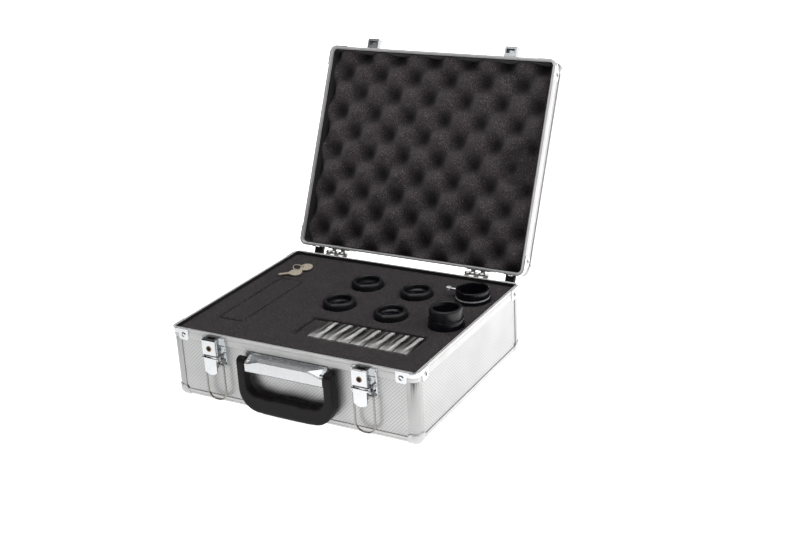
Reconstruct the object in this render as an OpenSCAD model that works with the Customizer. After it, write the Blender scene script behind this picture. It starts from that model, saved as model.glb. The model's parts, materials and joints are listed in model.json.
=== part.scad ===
// Hard aluminium carry case with a set of telescope eyepieces, a Barlow adapter and boxed filters.
// Millimetres. The case stands on z = 0 and the origin is under the middle of its base.
// X runs to the right, Y to the back, Z up. The lid is drawn closed, then turned open on its hinge line.

/* [Case] */
// width over the aluminium frame
case_width = 295; // [260:1:340]
// depth over the aluminium frame
case_depth = 245; // [220:1:280]
// height of the base up to the top of its rim
base_height = 80; // [72:1:92]
// height of the lid from its rim to its top
lid_height = 29; // [28.8:0.2:45]
// thickness of the pressed aluminium profiles
skin = 0.8; // [0.6:0.1:1.2]
// thickness of the wall panels
panel = 1.7; // [1.2:0.1:3]
// outside radius of the edges and corners
corner_radius = 7.5; // [5:0.5:9]
// height of the edge rails on the walls
rail_height = 9; // [9:0.5:12]
// width of the legs of the corner posts
post_leg = 11.5; // [10:0.5:16]
// how far the rim stands out from the frame
rim_proud = 0.5; // [0.3:0.1:1]
// height of the rim profile with its flange
rim_height = 10.4; // [9:0.2:12]
// height of the raised bead along the top of the rim
rim_bead = 3; // [2:0.2:4]

/* [Lid and hinges] */
// angle of the open lid from closed
lid_angle = 115; // [90:1:120]
// height of the hinge line over the base rim
hinge_up = 1; // [0.8:0.1:2]
// distance of the hinge line behind the frame
hinge_back = 6; // [5:0.5:8]
// distance of each hinge from the middle
hinge_x = 93; // [70:1:110]
// length of each hinge
hinge_length = 30; // [20:1:40]
// gap between the closed rims
rim_gap = 0.4; // [0.2:0.1:1]
// spacing of the foam peaks across the lid
foam_pitch_x = 47; // [40:1:55]
// spacing of the foam peaks from front to back
foam_pitch_y = 48.5; // [40:0.5:55]
// height of the foam peaks
foam_peak = 14; // [8:1:18]

/* [Latches] */
// distance of each latch from the middle
latch_x = 90.5; // [70:0.5:105]
// width of the latch plates
latch_plate_width = 29; // [24:1:34]
// width of the lock bodies
lock_width = 16.8; // [14:0.1:18]
// how far the lock bodies stand out
lock_out = 12.5; // [10:0.5:15]
// wire diameter of the bails
bail_wire = 2.1; // [1.6:0.1:2.6]
// length of the bails from pivot to crossbar
bail_length = 42.35; // [40:0.05:44]

/* [Handle] */
// width over the handle
handle_width = 114; // [110:1:140]
// depth of the handle from front to back
handle_depth = 11; // [10:0.5:14]
// height of the handle pivots
handle_pivot_z = 60.5; // [58:0.5:62]
// height of the underside of the grip above the floor
handle_drop = 4; // [2:0.5:9]
// half length of the metal bracket
bracket_half = 46.9; // [44:0.1:49.7]

/* [Contents] */
// depth of the foam surface below the base rim
foam_drop = 3.3; // [2:0.1:6]
// positions of the low eyepieces from the middle
eyepiece_at = [[-13.2, 63.1], [-14.5, 3], [51.1, 60.2], [52.8, -1.8]];
// lengths of the low eyepieces below the foam surface
eyepiece_deep = [56, 52, 50, 46];
// eye lens radii of the low eyepieces
eye_lens_radius = [6, 7, 9, 9.5];
// outside radius of the rubber eyecups
eyecup_radius = 18.2; // [17:0.1:19]
// position of the tall eyepiece
tall_at = [118.2, 0];
// position of the Barlow adapter
barlow_at = [115.1, 70.9];
// outside radius of a push-fit barrel
barrel_radius = 15.875; // [15.8:0.005:16]
// number of boxed filters
filter_count = 7; // [1:1:7]
// spacing of the boxed filters
filter_pitch = 17; // [16:0.5:18]
// corner of the filter pocket nearest the middle at the front
pocket_corner = [-22.1, -81.6];
// size of the filter pocket
pocket_size = [136.8, 45.3];
// depth of the filter pocket
pocket_deep = 42; // [40:1:50]

/* [Hidden] */
$fn = 48;
half_w = case_width / 2;
half_d = case_depth / 2;
wall = skin + panel;
foam_top = base_height - foam_drop;
floor_top = skin + 2;
lid_bottom = base_height + rim_gap;
lid_top = lid_bottom + lid_height;
hinge_y = half_d + hinge_back;
hinge_z = base_height + hinge_up;
rim_cap = 4;
rim_tuck = corner_radius + rim_proud;
brace_reach = 22.5;
brace_height = 5.2;
brace_tab_low = 12.4;
brace_tab_from = 10;
tab_rivet_down = 6.8;
plate_top = base_height - 2.5;
plate_low = base_height - 33;
lock_low = base_height - 20;
lock_top = base_height - 1;
front = -half_d;
lock_front = front - lock_out;
lever_pin_y = lock_front + 2.5;
lever_pin_z = base_height - 22.7;
bail_y = front - 6;
bail_z = base_height - 30;
bail_half = 11.45;
bail_bend = 10;
lever_low = base_height - 41;
lever_half = 7.7;
cylinder_z = base_height - 11;
handle_half = handle_width / 2;
handle_y = front - 7.6;
handle_top = handle_depth / 2;
grip_half = bracket_half + 0.6;
grip_floor = handle_drop + 21;
bracket_low = handle_pivot_z - 9.9;
bracket_top = handle_pivot_z + 5.5;
run = 0.05;
fit_gap = 0.35;
filter_size = 40;
filter_thick = 14.5;
plug_low = [-119.8, -75.9];
plug_high = [-89.4, 45.2];
plug_deep = 58;
filler_width = 18;
filler_drop = 2.2;

// ---- shared outlines ----

module rounded_rect(w, d, r) {
  square([w - 2 * r, d], center = true);
  square([w, d - 2 * r], center = true);
  for (sx = [-1, 1], sy = [-1, 1])
    translate([sx * (w / 2 - r), sy * (d / 2 - r)]) circle(r);
}

// the frame outline, grown outwards by a distance
module outline(grow) {
  rounded_rect(case_width + 2 * grow, case_depth + 2 * grow, corner_radius + grow);
}

// the space inside the walls, made smaller all round by a gap
module opening(gap = 0) {
  rounded_rect(case_width - 2 * wall - 2 * gap, case_depth - 2 * wall - 2 * gap, corner_radius - wall);
}

module band(outer, inner) {
  difference() {
    outline(outer);
    outline(inner);
  }
}

// a flat shape in Y and Z, drawn out along X about the middle
module along_x(length) {
  translate([-length / 2, 0, 0]) rotate([90, 0, 90]) linear_extrude(length) children();
}

// a flat shape in X and Z, drawn out along Y about the middle
module along_y(length) {
  translate([0, length / 2, 0]) rotate([90, 0, 0]) linear_extrude(length) children();
}

module corners_mask(reach) {
  for (sx = [-1, 1], sy = [-1, 1])
    translate([sx * (half_w - reach / 2 + 2), sy * (half_d - reach / 2 + 2)])
      square(reach + 4, center = true);
}

// the front and back pieces run the full width, the side pieces fit between them
module front_back() {
  for (s = [-1, 1]) intersection() {
    children();
    translate([0, s * half_d]) square([2 * case_width, 2 * wall], center = true);
  }
}

module sides() {
  for (s = [-1, 1]) intersection() {
    children();
    translate([s * half_w, 0]) square([40, case_depth - 2 * wall - 0.04], center = true);
  }
}

// ---- one tray, used for the base and, upside down, for the lid ----

module tray_walls(height) {
  lift = corner_radius;
  tall = height - rim_cap - lift;
  translate([0, 0, lift]) linear_extrude(tall) front_back() difference() {
    outline(-skin);
    opening();
  }
  translate([0, 0, lift]) linear_extrude(tall) sides() difference() {
    outline(-skin);
    opening();
  }
}

module tray_panel() {
  translate([0, 0, skin]) linear_extrude(2)
    square([case_width - 2 * corner_radius - 0.2, case_depth - 2 * corner_radius - 0.2], center = true);
}

module rail_profile() {
  r = corner_radius;
  difference() {
    union() {
      translate([r, 0]) square([7, r]);
      translate([0, r]) square([r, rail_height - r]);
      translate([r, r]) circle(r);
    }
    translate([r, skin]) square([20, 20]);
    translate([skin, r]) square([20, 20]);
    translate([r, r]) circle(r - skin);
    translate([-1, rail_height]) square([20, 20]);
    translate([0.15, 0.75 * r]) circle(0.45);
  }
}

module tray_rails() {
  for (m = [0, 1]) {
    mirror([0, m, 0]) along_x(case_width - 2 * corner_radius) translate([-half_d, 0]) rail_profile();
    mirror([m, 0, 0]) along_y(case_depth - 2 * corner_radius) translate([-half_w, 0]) rail_profile();
  }
}

module tray_posts(height) {
  low = rail_height + 0.1;
  translate([0, 0, low]) linear_extrude(height - rim_height - 0.1 - low) intersection() {
    band(0, -skin);
    corners_mask(post_leg);
  }
}

// a flange over the walls, a fine groove and a bead that caps the walls
module rim_section(height, tongue) {
  low = height - rim_height;
  cap = height - rim_cap;
  groove = height - rim_bead - 0.5;
  translate([0, 0, low]) linear_extrude(rim_height - rim_cap) band(rim_proud, -skin);
  translate([0, 0, cap]) linear_extrude(groove - cap) difference() {
    outline(rim_proud);
    opening();
  }
  translate([0, 0, groove]) linear_extrude(0.5) difference() {
    outline(rim_proud - 0.4);
    opening();
  }
  translate([0, 0, groove + 0.5]) linear_extrude(rim_bead - (tongue ? 0 : 1.5)) difference() {
    outline(rim_proud);
    opening();
  }
  if (tongue) translate([0, 0, height]) linear_extrude(1.2) band(-0.7, -1.5);
  else translate([0, 0, height - 1.5]) linear_extrude(1.5) difference() {
    outline(rim_proud);
    opening();
    band(-0.45, -1.75);
  }
}

module tray_rim(height, tongue) {
  inner_d = case_depth - 2 * wall;
  for (s = [-1, 1]) intersection() {
    rim_section(height, tongue);
    translate([0, s * half_d, height]) cube([2 * case_width, 2 * wall, 40], center = true);
  }
  for (s = [-1, 1]) intersection() {
    rim_section(height, tongue);
    translate([s * half_w, 0, height]) cube([40, inner_d - 0.04, 40], center = true);
  }
}

// round-ended tabs, drawn through the front and back walls and then through the side walls
module brace_tabs(height) {
  wide = brace_reach - brace_tab_from;
  mid = (brace_reach + brace_tab_from) / 2;
  for (s = [-1, 1]) {
    translate([s * (half_w - mid), 0, height]) along_y(2 * case_depth)
      rounded_rect(wide, 2 * brace_tab_low, 3);
    translate([0, s * (half_d - mid), height]) along_x(2 * case_width)
      rounded_rect(wide, 2 * brace_tab_low, 3);
  }
}

module tray_rim_corners(height) {
  translate([0, 0, height - brace_height]) linear_extrude(brace_height) intersection() {
    band(rim_proud + skin, rim_proud);
    corners_mask(brace_reach);
  }
  intersection() {
    translate([0, 0, height - brace_tab_low]) linear_extrude(brace_tab_low)
      band(rim_proud + skin, rim_proud);
    brace_tabs(height);
  }
}

module corner_envelope(r, reach) {
  sphere(r);
  rotate([0, -90, 0]) cylinder(h = reach, r = r);
  rotate([90, 0, 0]) cylinder(h = reach, r = r);
  cylinder(h = reach, r = r);
  translate([-reach, -reach, -r]) cube([reach, reach, reach + r]);
  translate([-reach, -reach, 0]) cube([reach, reach + r, reach]);
  translate([-reach, -reach, 0]) cube([reach + r, reach, reach]);
}

module ball_corner() {
  translate([half_w - corner_radius, half_d - corner_radius, corner_radius]) difference() {
    intersection() {
      corner_envelope(corner_radius + skin, 14);
      sphere(9.8);
    }
    corner_envelope(corner_radius, 20);
  }
}

module tray_ball_corners() {
  for (mx = [0, 1], my = [0, 1]) mirror([mx, 0, 0]) mirror([0, my, 0]) ball_corner();
}

// a hollow rivet with its head on +Z and its shank below z = 0
module rivet(r) {
  height = 0.4 * r;
  ball = (r * r + height * height) / (2 * height);
  difference() {
    union() {
      intersection() {
        translate([0, 0, height - ball]) sphere(ball);
        cylinder(h = height + 1, r = r);
      }
      translate([0, 0, -2.2]) cylinder(h = 2.3, r = 0.75 * r);
    }
    translate([0, 0, -1.6]) cylinder(h = 4, r = 0.62 * r);
  }
}

// a rivet on the front and back faces, then on the side faces
module rivets_y(x, z, out, r) {
  for (sx = [-1, 1], sy = [0, 1]) mirror([0, sy, 0])
    translate([sx * x, -half_d - out, z]) rotate([90, 0, 0]) rivet(r);
}

module rivets_x(y, z, out, r) {
  for (sx = [0, 1], sy = [-1, 1]) mirror([sx, 0, 0])
    translate([-half_w - out, sy * y, z]) rotate([0, -90, 0]) rivet(r);
}

module tray_rivets(height) {
  mid = (brace_tab_from + brace_reach) / 2;
  tab_z = height - tab_rivet_down;
  rivets_y(half_w - mid, tab_z, rim_proud + skin, 3.2);
  rivets_x(half_d - mid, tab_z, rim_proud + skin, 3.2);
}

module tray_feet() {
  mid = rail_height + 3.8;
  for (s = [-1, 1]) translate([s * 128, half_d - skin, mid]) difference() {
    translate([0, 5.6, 0]) rotate([90, 0, 0]) linear_extrude(11.2, center = true)
      rounded_rect(12, 7, 2.5);
    translate([0, 8.2, 0]) rotate([-90, 0, 0]) cylinder(h = 10, r = 2.6);
  }
}

// ---- the lid's own place ----

module place_lid() {
  translate([0, hinge_y, hinge_z]) rotate([-lid_angle, 0, 0]) translate([0, -hinge_y, -hinge_z])
    children();
}

module lid_tray() {
  place_lid() translate([0, 0, lid_top]) mirror([0, 0, 1]) children();
}

// ---- base ----

module base_wall_panels() {
  color([0.72, 0.73, 0.74]) tray_walls(base_height);
}

module base_bottom_panel() {
  color([0.2, 0.2, 0.2]) tray_panel();
}

module base_corner_posts() {
  color([0.8, 0.81, 0.82]) tray_posts(base_height);
}

module base_bottom_rails() {
  color([0.8, 0.81, 0.82]) tray_rails();
}

module base_rim() {
  color([0.85, 0.86, 0.87]) tray_rim(base_height, false);
}

module base_rim_corners() {
  color([0.9, 0.9, 0.9]) tray_rim_corners(base_height);
}

module base_ball_corners() {
  color([0.9, 0.9, 0.9]) intersection() {
    tray_ball_corners();
    translate([0, 0, 50]) cube([2 * case_width, 2 * case_depth, 100], center = true);
  }
}

module base_feet() {
  color([0.05, 0.05, 0.05]) tray_feet();
}

module low_eyepiece_hole(i) {
  at = eyepiece_at[i];
  translate([at[0], at[1], foam_top - eyepiece_deep[i] - 1]) cylinder(h = 80, r = barrel_radius + fit_gap);
  translate([at[0], at[1], foam_top - eyepiece_deep[i] + 28 - fit_gap])
    cylinder(h = 80, r = 17.6 + fit_gap);
  translate([at[0], at[1], foam_top - 3.2 - fit_gap]) cylinder(h = 80, r = eyecup_radius + fit_gap);
}

module base_foam() {
  color([0.13, 0.12, 0.12]) difference() {
    translate([0, 0, floor_top + 0.6]) linear_extrude(foam_top - floor_top - 0.6) opening(0.1);
    for (i = [0:3]) low_eyepiece_hole(i);
    translate([tall_at[0], tall_at[1], foam_top - 64 - 1]) cylinder(h = 80, r = barrel_radius + fit_gap);
    translate([tall_at[0], tall_at[1], foam_top - 36 - fit_gap]) cylinder(h = 80, r = 19 + fit_gap);
    translate([barlow_at[0], barlow_at[1], foam_top - 61]) cylinder(h = 80, r = barrel_radius + fit_gap);
    translate([barlow_at[0], barlow_at[1], foam_top - 25 - fit_gap]) cylinder(h = 80, r = 18.8 + fit_gap);
    translate([pocket_corner[0], pocket_corner[1], foam_top - pocket_deep])
      cube([pocket_size[0], pocket_size[1], 80]);
    translate([plug_low[0] - fit_gap, plug_low[1] - fit_gap, foam_top - plug_deep - 0.5])
      cube([plug_high[0] - plug_low[0] + 2 * fit_gap, plug_high[1] - plug_low[1] + 2 * fit_gap, 80]);
  }
}

module latch_rivets() {
  for (sx = [-1, 1], dx = [-1, 1], down = [22.2, 15.8])
    translate([sx * latch_x + dx * 11.7, front, base_height - down]) rotate([90, 0, 0]) rivet(1.6);
}

module base_rivets() {
  color([0.9, 0.9, 0.9]) {
    tray_rivets(base_height);
    latch_rivets();
    for (sx = [-1, 1], dx = [-9, 9], down = [18, 11])
      translate([sx * hinge_x + dx, half_d + rim_proud + 1, hinge_z - down]) rotate([-90, 0, 0]) rivet(1.6);
  }
}

// ---- hinges ----

knuckle = 2.6;
segment = hinge_length / 5;

module hinge_knuckle(k) {
  translate([-hinge_length / 2 + k * segment + 0.15, hinge_y, hinge_z]) rotate([0, 90, 0])
    difference() {
      cylinder(h = segment - 0.3, r = knuckle);
      translate([0, 0, -1]) cylinder(h = segment + 2, r = 1.25);
    }
}

module hinge_arm(k, z, thick) {
  difference() {
    translate([-hinge_length / 2 + k * segment + 0.15, half_d + rim_proud, z])
      cube([segment - 0.3, hinge_back - rim_proud, thick]);
    translate([-hinge_length / 2, hinge_y, hinge_z]) rotate([0, 90, 0])
      cylinder(h = hinge_length, r = 1.25);
  }
}

module hinge_base_leaves() {
  low = hinge_z - 21.5;
  color([0.9, 0.9, 0.9]) for (s = [-1, 1]) translate([s * hinge_x, 0, 0]) {
    translate([-hinge_length / 2, half_d + rim_proud, low]) cube([hinge_length, 1, 20.3]);
    translate([-hinge_length / 2, half_d - skin, low])
      cube([hinge_length, skin + rim_proud + 0.1, base_height - rim_height - 0.1 - low]);
    for (k = [0, 2, 4]) {
      hinge_knuckle(k);
      hinge_arm(k, hinge_z - knuckle + 0.1, 1.4);
    }
  }
}

module hinge_lid_leaves() {
  spacer_low = lid_bottom + rim_height + 0.1;
  color([0.9, 0.9, 0.9]) place_lid() for (s = [-1, 1]) translate([s * hinge_x, 0, 0]) {
    translate([-hinge_length / 2, half_d + rim_proud, hinge_z + 1.1])
      cube([hinge_length, 1, 17]);
    translate([-hinge_length / 2, half_d - skin, spacer_low])
      cube([hinge_length, skin + rim_proud + 0.1, hinge_z + 18.1 - spacer_low]);
    for (k = [1, 3]) {
      hinge_knuckle(k);
      hinge_arm(k, hinge_z + 1.1, 1.4);
    }
  }
}

// hinge pins, handle pins and lever pins, all fixed to the base
module fixed_pins() {
  color([0.85, 0.85, 0.85]) {
    for (s = [-1, 1]) translate([s * hinge_x - hinge_length / 2, hinge_y, hinge_z])
      rotate([0, 90, 0]) cylinder(h = hinge_length, r = 1.2);
    for (s = [-1, 1]) translate([s * (bracket_half + 0.8) - 6, handle_y, handle_pivot_z])
      rotate([0, 90, 0]) cylinder(h = 12, r = 2.5);
    for (s = [-1, 1]) translate([s * latch_x - 9.8, lever_pin_y, lever_pin_z])
      rotate([0, 90, 0]) cylinder(h = 19.6, r = 1.5);
  }
}

// ---- handle ----

// the bracket's section, with the front edge of its top at a height
module bracket_section(edge) {
  polygon([[front + skin, bracket_low], [front - 11.3, bracket_low], [front - 12.3, bracket_low + 1.3],
           [front - 12.3, edge], [front - 11, edge + 1.2], [front - 1.2, bracket_top],
           [front + skin, bracket_top]]);
}

// a folded plate: its front edge rises in two gentle ramps to a raised middle
module handle_bracket() {
  low = handle_pivot_z - 0.2;
  high = handle_pivot_z + 3.9;
  color([0.9, 0.9, 0.9]) difference() {
    union() {
      along_x(2 * bracket_half) bracket_section(low);
      along_x(60) bracket_section(high);
      for (s = [-1, 1]) hull() {
        translate([s * 29, 0, 0]) along_x(2) bracket_section(high);
        translate([s * 42, 0, 0]) along_x(2) bracket_section(low);
      }
      translate([-bracket_half, front - 1.2, bracket_top - 1.5]) cube([2 * bracket_half, 1.2 + skin, 3.8]);
    }
    translate([-bracket_half - 1, handle_y, handle_pivot_z]) rotate([0, 90, 0])
      cylinder(h = 2 * bracket_half + 2, r = 2.53);
  }
}

// the grip seen from the front: big lower corners, a bowed underside and two finger hollows
module grip_face() {
  low = handle_drop;
  corner = 24;
  inner = 12.5;
  bow = 320;
  difference() {
    union() {
      intersection() {
        translate([-handle_half + corner, low]) square([handle_width - 2 * corner, 30]);
        translate([0, low + bow]) circle(bow, $fn = 360);
      }
      translate([-handle_half, low + corner + 2]) square([handle_width, 60]);
      for (s = [-1, 1]) translate([s * (handle_half - corner), low + corner + 2]) circle(corner);
    }
    translate([-grip_half, grip_floor + inner]) square([2 * grip_half, 60]);
    translate([-grip_half + inner, grip_floor]) square([2 * (grip_half - inner), 40]);
    for (s = [-1, 1]) translate([s * (grip_half - inner), grip_floor + inner]) circle(inner);
    for (s = [-1, 1]) translate([s * 21, grip_floor + 18.5]) circle(20);
  }
}

module grip_side() {
  back = handle_y + handle_depth / 2;
  low = handle_drop;
  r = 4.5;
  translate([handle_y, handle_pivot_z]) circle(handle_top);
  translate([back - handle_depth, low + r]) square([handle_depth, handle_pivot_z - low - r]);
  translate([back - handle_depth + r, low]) square([handle_depth - 2 * r, 20]);
  for (y = [back - r, back - handle_depth + r]) translate([y, low + r]) circle(r);
}

module handle_grip() {
  color([0.05, 0.05, 0.05]) difference() {
    intersection() {
      translate([0, handle_y, 0]) along_y(handle_depth + 4) grip_face();
      along_x(handle_width + 4) grip_side();
    }
    translate([-bracket_half - 7.4, handle_y, handle_pivot_z]) rotate([0, 90, 0])
      cylinder(h = 2 * bracket_half + 14.8, r = 2.5 + run);
  }
}

// ---- latches ----

// the plate lies on the wall panel and steps out over the flange of the rim
module latch_plate_side() {
  flange = base_height - rim_height - 0.12;
  over = front - rim_proud - 0.02;
  polygon([[front + skin, plate_low], [front, plate_low], [front, flange - 2], [over - skin, flange],
           [over - skin, plate_top], [over, plate_top], [over, flange], [front + skin, flange]]);
}

// the upturned edges of the plate, with round outer corners
module latch_plate_edge() {
  out = 3.2;
  r = 2.6;
  flange = base_height - rim_height - 0.12;
  difference() {
    union() {
      translate([front - out, plate_low + r]) square([out + 0.1, plate_top - plate_low - 2 * r]);
      translate([front - out + r, plate_low]) square([out - r + 0.1, plate_top - plate_low]);
      for (z = [plate_low + r, plate_top - r]) translate([front - out + r, z]) circle(r);
    }
    translate([front - rim_proud - 0.02, flange]) square([5, 20]);
    translate([front + 0.1, 0]) square([10, 100]);
  }
}

module latch_plate() {
  half = latch_plate_width / 2;
  along_x(latch_plate_width) latch_plate_side();
  for (s = [-1, 1]) translate([s * (half - 0.6), 0, 0]) along_x(1.2) latch_plate_edge();
  for (s = [-1, 1]) translate([s * 9.25, 0, 0]) along_x(1.2) difference() {
    union() {
      translate([lever_pin_y, lever_pin_z - 2.7]) square([front - lever_pin_y + 0.1, 5.2]);
      translate([lever_pin_y, lever_pin_z]) circle(2.5);
    }
    translate([lever_pin_y, lever_pin_z]) circle(1.53);
  }
}

module latch_plates() {
  color([0.9, 0.9, 0.9]) for (s = [-1, 1]) translate([s * latch_x, 0, 0]) latch_plate();
}

// the back of the lock lies on the stepped plate
module lock_side() {
  flange = base_height - rim_height - 0.12;
  over = front - rim_proud - skin - 0.02;
  polygon([[front, lock_low], [lever_pin_y + 2, lock_low], [lock_front, lock_low + 1.8],
           [lock_front, lock_top - 1.2], [lock_front + 1.2, lock_top], [over, lock_top], [over, flange],
           [front, flange - 2]]);
}

module lock_bodies() {
  color([0.9, 0.9, 0.9]) for (s = [-1, 1]) translate([s * latch_x, 0, 0]) difference() {
    along_x(lock_width) lock_side();
    translate([-5, front - 9.5, cylinder_z + 2.5]) cube([10, 5, 20]);
    translate([0, lock_front - 1, cylinder_z]) rotate([-90, 0, 0]) cylinder(h = 8, r = 3.2 + run);
  }
}

module lock_cylinder() {
  color([0.75, 0.7, 0.6]) difference() {
    translate([0, lock_front - 0.3, cylinder_z]) rotate([-90, 0, 0]) cylinder(h = 6.9, r = 3.2);
    translate([-0.45, lock_front - 1, cylinder_z - 2]) cube([0.9, 4.5, 4]);
  }
}

module left_lock_cylinder() {
  translate([-latch_x, 0, 0]) lock_cylinder();
}

module right_lock_cylinder() {
  translate([latch_x, 0, 0]) lock_cylinder();
}

module lever_cheek() {
  low = bail_z - 2.6;
  high = lever_pin_z + 1.3;
  polygon([[lock_front, lever_pin_z], [lock_front, low], [bail_y + 0.5, low], [bail_y + 2.3, low + 1.6],
           [bail_y + 2.3, low + 4.1], [lever_pin_y + 2.2, high], [lever_pin_y, high]]);
}

// a tongue with a round lower end
module lever_outline() {
  r = 10;
  translate([-lever_half, lever_low + 6]) square([2 * lever_half, lever_pin_z - lever_low - 6]);
  intersection() {
    translate([-lever_half, lever_low]) square([2 * lever_half, 10]);
    translate([0, lever_low + r]) circle(r);
  }
}

module latch_lever() {
  color([0.9, 0.9, 0.9]) difference() {
    union() {
      translate([-8.3, lever_pin_y, lever_pin_z]) rotate([0, 90, 0]) cylinder(h = 16.6, r = 2.5);
      translate([0, lock_front + 0.8, 0]) along_y(1.6) lever_outline();
      for (s = [-1, 1]) translate([s * (lever_half - 0.7), 0, 0]) along_x(1.4) lever_cheek();
    }
    translate([-20, lever_pin_y, lever_pin_z]) rotate([0, 90, 0]) cylinder(h = 40, r = 1.5 + run);
    translate([-20, bail_y, bail_z]) rotate([0, 90, 0]) cylinder(h = 40, r = bail_wire / 2 + run);
  }
}

module left_latch_lever() {
  translate([-latch_x, 0, 0]) latch_lever();
}

module right_latch_lever() {
  translate([latch_x, 0, 0]) latch_lever();
}

// the wire drops from its pivots, turns two round corners and crosses at the bottom
module bail() {
  r = bail_wire / 2;
  bend = bail_bend;
  turn = 1.6;
  tip = 6.1;
  color([0.9, 0.9, 0.9]) translate([0, bail_y, bail_z]) {
    translate([-bail_half + bend, 0, -bail_length]) rotate([0, 90, 0])
      cylinder(h = 2 * (bail_half - bend), r = r);
    for (m = [0, 1]) mirror([m, 0, 0]) {
      translate([bail_half, 0, -bail_length + bend]) cylinder(h = bail_length - bend - turn, r = r);
      translate([bail_half - bend, 0, -bail_length + bend]) rotate([90, 0, 0])
        rotate([0, 0, -90]) rotate_extrude(angle = 90) translate([bend, 0]) circle(r);
      translate([bail_half - turn, 0, -turn]) rotate([90, 0, 0])
        rotate_extrude(angle = 90) translate([turn, 0]) circle(r);
      translate([tip, 0, 0]) rotate([0, 90, 0]) cylinder(h = bail_half - turn - tip, r = r);
    }
  }
}

module left_bail() {
  translate([-latch_x, 0, 0]) bail();
}

module right_bail() {
  translate([latch_x, 0, 0]) bail();
}

// ---- lid ----

module lid_top_panel() {
  color([0.72, 0.73, 0.74]) lid_tray() tray_panel();
}

module lid_wall_panels() {
  color([0.72, 0.73, 0.74]) lid_tray() tray_walls(lid_height);
}

module lid_corner_posts() {
  color([0.8, 0.81, 0.82]) lid_tray() tray_posts(lid_height);
}

module lid_top_rails() {
  color([0.8, 0.81, 0.82]) lid_tray() tray_rails();
}

module lid_rim() {
  color([0.85, 0.86, 0.87]) lid_tray() tray_rim(lid_height, true);
}

module lid_rim_corners() {
  color([0.9, 0.9, 0.9]) lid_tray() tray_rim_corners(lid_height);
}

module lid_ball_corners() {
  color([0.9, 0.9, 0.9]) lid_tray() tray_ball_corners();
}

module lid_feet() {
  color([0.05, 0.05, 0.05]) lid_tray() tray_feet();
}

// a slab with rows of blunt peaks that point into the case
module lid_foam() {
  w = case_width - 2 * wall - 2.6;
  d = case_depth - 2 * wall - 2.6;
  slab = 8;
  color([0.13, 0.12, 0.12]) lid_tray() {
    translate([0, 0, floor_top + 0.1]) linear_extrude(slab) opening(1.3);
    for (i = [-4:3], j = [-3:3], k = [0, 1]) {
      x = 13 + 0.5 * k * foam_pitch_x + foam_pitch_x * i;
      y = -69.75 + 0.5 * k * foam_pitch_y + foam_pitch_y * j;
      if (abs(x) < w / 2 - 15 && abs(y) < d / 2 - 15)
        translate([x, y, floor_top + slab]) cylinder(h = foam_peak, r1 = 15, r2 = 5);
    }
  }
}

module lid_lining() {
  low = floor_top + 0.6;
  color([0.08, 0.08, 0.08]) lid_tray() translate([0, 0, low]) linear_extrude(lid_height - 4 - low)
    difference() {
      opening(0.05);
      opening(1.05);
    }
}

// the catch stands over the lid's flange and is riveted to its wall panel
module catch_side() {
  proud = front - rim_proud - 0.02;
  flange = lid_bottom + rim_height + 0.12;
  trough = lid_bottom + 8.6;
  lip = trough + 4;
  top = trough + 11;
  polygon([[proud, lid_bottom + 0.6], [lock_front + 1.5, lid_bottom + 0.6], [lock_front, lid_bottom + 2],
           [lock_front, lip - 0.6], [lock_front + 0.6, lip], [lock_front + 1.8, lip],
           [lock_front + 1.8, trough], [proud - 1, trough], [proud - 1, top], [front + skin, top],
           [front + skin, flange],
           [proud, flange]]);
}

module lid_catches() {
  color([0.9, 0.9, 0.9]) place_lid() for (s = [-1, 1]) translate([s * latch_x, 0, 0]) difference() {
    along_x(14.6) catch_side();
    translate([-5, front - 9.5, lid_bottom - 7.4]) cube([10, 5, 13]);
  }
}

module lid_rivets() {
  color([0.9, 0.9, 0.9]) {
    lid_tray() tray_rivets(lid_height);
    place_lid() for (sx = [-1, 1], dx = [-5, 5])
      translate([sx * latch_x + dx, front - rim_proud - 1, lid_bottom + 15.6]) rotate([90, 0, 0]) rivet(1.5);
    place_lid() for (sx = [-1, 1], dx = [-9, 9], up = [9, 15])
      translate([sx * hinge_x + dx, half_d + rim_proud + 1, hinge_z + up]) rotate([-90, 0, 0]) rivet(1.6);
  }
}

// ---- contents ----

module foam_plug() {
  color([0.13, 0.12, 0.12]) translate([plug_low[0], plug_low[1], foam_top - plug_deep])
    cube([plug_high[0] - plug_low[0], plug_high[1] - plug_low[1], plug_deep]);
}

// a block that fills the left end of the filter pocket
module foam_filler() {
  low = foam_top - pocket_deep + 0.1;
  color([0.13, 0.12, 0.12]) translate([pocket_corner[0] + fit_gap, pocket_corner[1] + fit_gap, low])
    cube([filler_width - fit_gap, pocket_size[1] - 2 * fit_gap, foam_top - filler_drop - low]);
}

module ring_solid(outer, inner, low, high) {
  rotate_extrude() translate([inner, low]) square([outer - inner, high - low]);
}

module at_low(i) {
  translate([eyepiece_at[i][0], eyepiece_at[i][1], foam_top]) children();
}

module low_housing(i) {
  deep = eyepiece_deep[i];
  eye = eye_lens_radius[i];
  barrel = deep - 28;
  color([0.07, 0.07, 0.08]) at_low(i) rotate_extrude() polygon([
    [14, -deep], [barrel_radius - 0.5, -deep], [barrel_radius, -deep + 0.5], [barrel_radius, -barrel - 8],
    [barrel_radius - 0.6, -barrel - 7], [barrel_radius - 0.6, -barrel - 4], [barrel_radius, -barrel - 3],
    [barrel_radius, -barrel], [17.6, -barrel], [17.6, -3.4], [14.8, -3.4], [14.8, 1.6], [13.4, 2],
    [eye + 1, 0.4], [eye + 0.2, 0.4], [eye + 0.2, -2.6], [eye - 0.8, -2.6], [eye - 0.8, -4.6],
    [12.5, -6], [12.5, -barrel], [14, -barrel - 2]]);
}

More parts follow.
